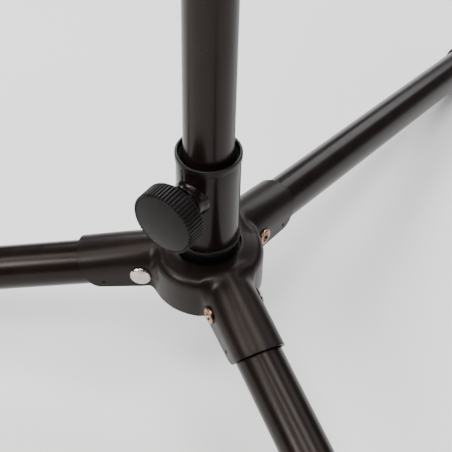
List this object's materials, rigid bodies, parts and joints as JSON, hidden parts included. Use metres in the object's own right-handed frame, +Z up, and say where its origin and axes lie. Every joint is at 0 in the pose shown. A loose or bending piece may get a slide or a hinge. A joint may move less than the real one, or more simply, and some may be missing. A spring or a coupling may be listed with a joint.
{
  "type": "music stand",
  "caption": "Free-standing black steel music stand: folding tripod base with a pressed hub, telescoping mast with thumb-screw clamp, and a tilting desk with a ledge.",
  "frame": {"origin": "on the floor, at the middle of the stand's box", "axes": "+Z up; the player stands on the -Y side, so the desk's face looks to -Y and up; +X is the player's right"},
  "size_m": [0.63, 0.5484, 1.1274],
  "materials": {
    "powder_coat": "satin black powder coat",
    "moulded_black": "satin moulded nylon",
    "knob_black": "fine matte moulded plastic",
    "rubber_black": "matte rubber",
    "nickel_rivet": "dull nickel plate with a warm tint",
    "zinc_steel": "bright zinc plate",
    "brass_pad": "turned",
    "nylon_washer": "natural nylon"
  },
  "bodies": {
    "base": {"hub_shell": "powder_coat", "hub_backing_ring": "powder_coat", "collar_base_bush": "moulded_black", "collar_sleeve": "powder_coat", "collar_top_bush": "moulded_black", "collar_thread_boss": "powder_coat", "leg_rivet_left": "nickel_rivet", "leg_rivet_right": "nickel_rivet", "leg_rivet_rear": "nickel_rivet"},
    "leg_left": {"leg_tube_left": "powder_coat", "leg_foot_left": "rubber_black"},
    "leg_right": {"leg_tube_right": "powder_coat", "leg_foot_right": "rubber_black"},
    "leg_rear": {"leg_tube_rear": "powder_coat", "leg_foot_rear": "rubber_black"},
    "base_pad": {"base_screw_pad": "brass_pad"},
    "base_thumb_screw": {"base_screw": "zinc_steel", "base_knob": "knob_black"},
    "lower_mast": {"mast_lower_tube": "powder_coat", "mast_foot_plug": "moulded_black", "clamp_base_bush": "moulded_black", "clamp_sleeve": "powder_coat", "clamp_top_bush": "moulded_black", "clamp_thread_boss": "powder_coat"},
    "clamp_pad": {"clamp_screw_pad": "brass_pad"},
    "clamp_thumb_screw": {"clamp_screw": "zinc_steel", "clamp_knob": "knob_black"},
    "mast_guide": {"mast_guide_plug": "moulded_black"},
    "upper_mast": {"mast_upper_tube": "powder_coat", "tilt_head": "moulded_black", "tilt_head_pin": "zinc_steel"},
    "desk": {"desk_panel": "powder_coat", "desk_bracket": "powder_coat", "tilt_bolt": "zinc_steel", "tilt_friction_washer_left": "nylon_washer", "tilt_friction_washer_right": "nylon_washer", "desk_rivet_1": "powder_coat", "desk_rivet_2": "powder_coat", "desk_rivet_3": "powder_coat", "desk_rivet_4": "powder_coat"},
    "knob_washer": {"tilt_washer": "zinc_steel"},
    "tilt_knob": {"tilt_knob": "knob_black"}
  },
  "joints": [
    {"name": "leg_fold_rear", "type": "hinge", "parent": "base", "child": "leg_rear", "pos_m": [0, -0.0511, 0.08228], "axis": [-1, 0, 0], "range_deg": [0, 77.5]},
    {"name": "leg_fold_left", "type": "hinge", "parent": "base", "child": "leg_left", "pos_m": [-0.02917, -0.10162, 0.08228], "axis": [0.5, -0.866, 0], "range_deg": [0, 77.5]},
    {"name": "leg_fold_right", "type": "hinge", "parent": "base", "child": "leg_right", "pos_m": [0.02917, -0.10162, 0.08228], "axis": [0.5, 0.866, 0], "range_deg": [0, 77.5]},
    {"name": "base_screw_travel", "type": "slide", "parent": "base", "child": "base_pad", "axis": [0, -1, 0], "range_m": [0, 0.0025]},
    {"name": "base_knob_turn", "type": "hinge", "parent": "base_pad", "child": "base_thumb_screw", "pos_m": [0, -0.12363, 0.14055], "axis": [0, -1, 0], "range_deg": [0, 720]},
    {"name": "mast_lift_out", "type": "slide", "parent": "base", "child": "lower_mast", "axis": [0, 0, 1], "range_m": [0, 0.076]},
    {"name": "clamp_screw_travel", "type": "slide", "parent": "lower_mast", "child": "clamp_pad", "axis": [0, 1, 0], "range_m": [0, 0.0025]},
    {"name": "clamp_knob_turn", "type": "hinge", "parent": "clamp_pad", "child": "clamp_thumb_screw", "pos_m": [0, -0.04863, 0.62505], "axis": [0, 1, 0], "range_deg": [0, 720]},
    {"name": "mast_height", "type": "slide", "parent": "lower_mast", "child": "mast_guide", "axis": [0, 0, 1], "range_m": [-0.15, 0.25]},
    {"name": "mast_swivel", "type": "hinge", "parent": "mast_guide", "child": "upper_mast", "pos_m": [0, -0.08478, 0.5], "axis": [0, 0, 1], "continuous": true},
    {"name": "desk_tilt", "type": "hinge", "parent": "upper_mast", "child": "desk", "pos_m": [0, -0.08478, 0.95105], "axis": [-1, 0, 0], "range_deg": [-25, 65]},
    {"name": "tilt_knob_travel", "type": "slide", "parent": "desk", "child": "knob_washer", "axis": [1, 0, 0], "range_m": [0, 0.0025]},
    {"name": "tilt_knob_turn", "type": "hinge", "parent": "knob_washer", "child": "tilt_knob", "pos_m": [0.026, -0.08478, 0.95105], "axis": [1, 0, 0], "range_deg": [0, 720]}
  ],
  "couplings": [
    {"joint": "base_screw_travel", "follows": "base_knob_turn", "m_per_rad": 0.0001989},
    {"joint": "clamp_screw_travel", "follows": "clamp_knob_turn", "m_per_rad": 0.0001989},
    {"joint": "tilt_knob_travel", "follows": "tilt_knob_turn", "m_per_rad": 0.0001989}
  ]
}
